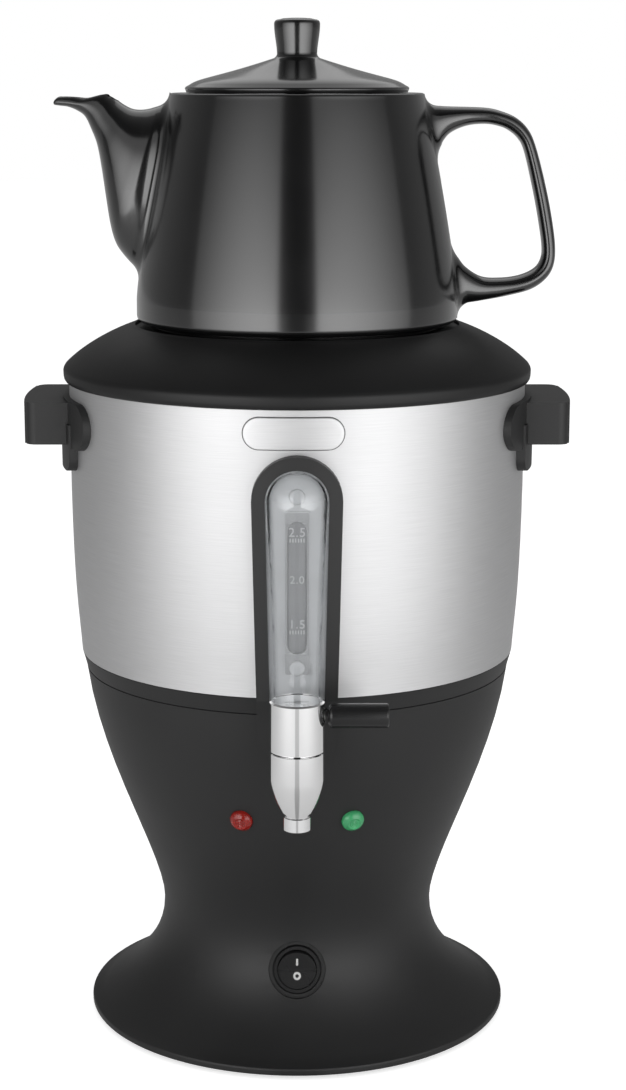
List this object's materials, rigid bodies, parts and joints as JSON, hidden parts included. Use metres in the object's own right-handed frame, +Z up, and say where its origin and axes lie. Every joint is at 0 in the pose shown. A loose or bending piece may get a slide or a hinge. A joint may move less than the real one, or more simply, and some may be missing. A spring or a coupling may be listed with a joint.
{
  "type": "electric samovar",
  "caption": "Electric samovar: steel water tank on a flared black base, quarter-turn tap, water gauge, side handles, and a ceramic teapot standing on the tank lid.",
  "frame": {"origin": "centre of the circle of feet, on the plane that the feet stand on", "axes": "+Z up along the tank's axis; -Y to the front, where the tap and the gauge are; +X to the right as seen from the front"},
  "size_m": [0.2492, 0.2428, 0.464],
  "materials": {
    "black_plastic": "fine matte black, moulded",
    "steel": "satin, brushed round the wall",
    "chrome": "polished",
    "ceramic": "opaque black glazed stoneware",
    "black_gloss": "black, semi-gloss",
    "clear_cover": "clear moulded plastic",
    "grey_plastic": "light grey",
    "red_lens": "translucent red",
    "green_lens": "translucent green",
    "rubber": "black rubber",
    "silicone": "pale silicone",
    "zinc_steel": "zinc plated",
    "brass": "turned brass",
    "heater_aluminium": "cast plate",
    "element_tube": "heat-stained steel tube",
    "phenolic": "brown phenolic",
    "steatite": "pale insulator",
    "nylon": "natural nylon"
  },
  "bodies": {
    "base": {"base_housing": "black_plastic", "bottom_plate": "black_plastic", "rubber_feet": "rubber", "base_screws": "zinc_steel", "waist_ring": "black_plastic", "ring_screws": "zinc_steel", "tank": "steel", "heater_plate": "heater_aluminium", "heating_element": "element_tube", "thermostat": "phenolic", "thermal_cutout": "steatite", "sensor_bracket": "zinc_steel", "terminal_block": "steatite", "wires": "silicone", "cord_gland": "black_gloss", "switch_body": "black_gloss", "lamp_red": "red_lens", "lamp_green": "green_lens", "lamp_clips": "nylon", "handle_left": "black_plastic", "handle_right": "black_plastic", "handle_screws": "zinc_steel", "handle_seals": "silicone", "gauge_frame": "black_plastic", "gauge_cover": "clear_cover", "gauge_back": "grey_plastic", "gauge_seal": "silicone", "gauge_screws": "zinc_steel", "tap_body": "chrome", "tap_nozzle": "chrome", "tap_washer": "silicone", "tap_nut": "brass"},
    "tap_key": {"tap_head": "chrome", "tap_plug": "brass", "tap_rings": "rubber", "tap_clip": "zinc_steel", "tap_lever": "black_gloss", "tap_stud": "zinc_steel"},
    "rocker": {"switch_rocker": "black_gloss"},
    "tank_lid": {"tank_lid": "black_plastic", "lid_seal": "silicone"},
    "pot": {"teapot": "ceramic"},
    "pot_lid": {"teapot_lid": "ceramic"}
  },
  "joints": [
    {"name": "tap_turn", "type": "hinge", "parent": "base", "child": "tap_key", "pos_m": [0, -0.124, 0.1607], "axis": [0, 0, 1], "range_deg": [-90, 0]},
    {"name": "switch_tilt", "type": "hinge", "parent": "base", "child": "rocker", "pos_m": [0, -0.06375, 0.03839], "axis": [1, 0, 0], "range_deg": [-22, 0]},
    {"name": "tank_lid_lift", "type": "slide", "parent": "base", "child": "tank_lid", "axis": [0, 0, 1], "range_m": [0, 0.06]},
    {"name": "pot_lift", "type": "slide", "parent": "tank_lid", "child": "pot", "axis": [0, 0, 1], "range_m": [0, 0.06]},
    {"name": "pot_lid_lift", "type": "slide", "parent": "pot", "child": "pot_lid", "axis": [0, 0, 1], "range_m": [0, 0.05]}
  ]
}
